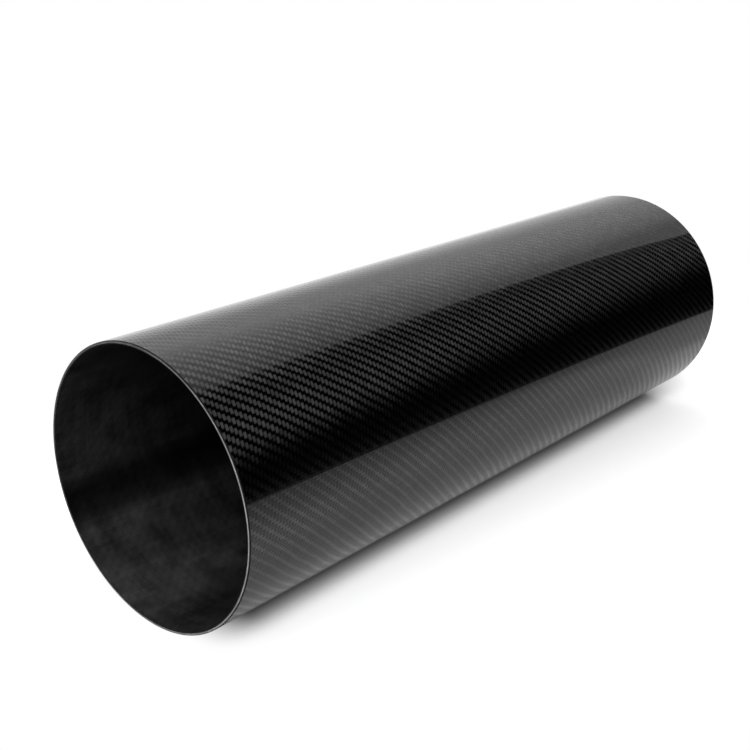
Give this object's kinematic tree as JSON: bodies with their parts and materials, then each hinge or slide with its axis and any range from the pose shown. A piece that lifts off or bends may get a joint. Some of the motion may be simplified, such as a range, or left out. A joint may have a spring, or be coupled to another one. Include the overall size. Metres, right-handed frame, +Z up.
{
  "type": "carbon fibre tube",
  "caption": "Round carbon fibre tube: a thin, even wall of glossy twill laminate, open at both ends, with square-cut, lightly sanded edges.",
  "frame": {"origin": "on the floor, under the middle of the lying tube", "axes": "+X along the tube's axis, towards the end that is farther from the camera in the picture; +Z up, away from the floor it lies on"},
  "size_m": [0.55, 0.18, 0.1798],
  "materials": {
    "carbon_laminate": "woven 2x2 twill carbon cloth in clear epoxy: glossy outside, matt and resin-smeared inside the bore, bare laminate on the two cut edges"
  },
  "bodies": {
    "root": {"tube": "carbon_laminate"}
  },
  "joints": []
}
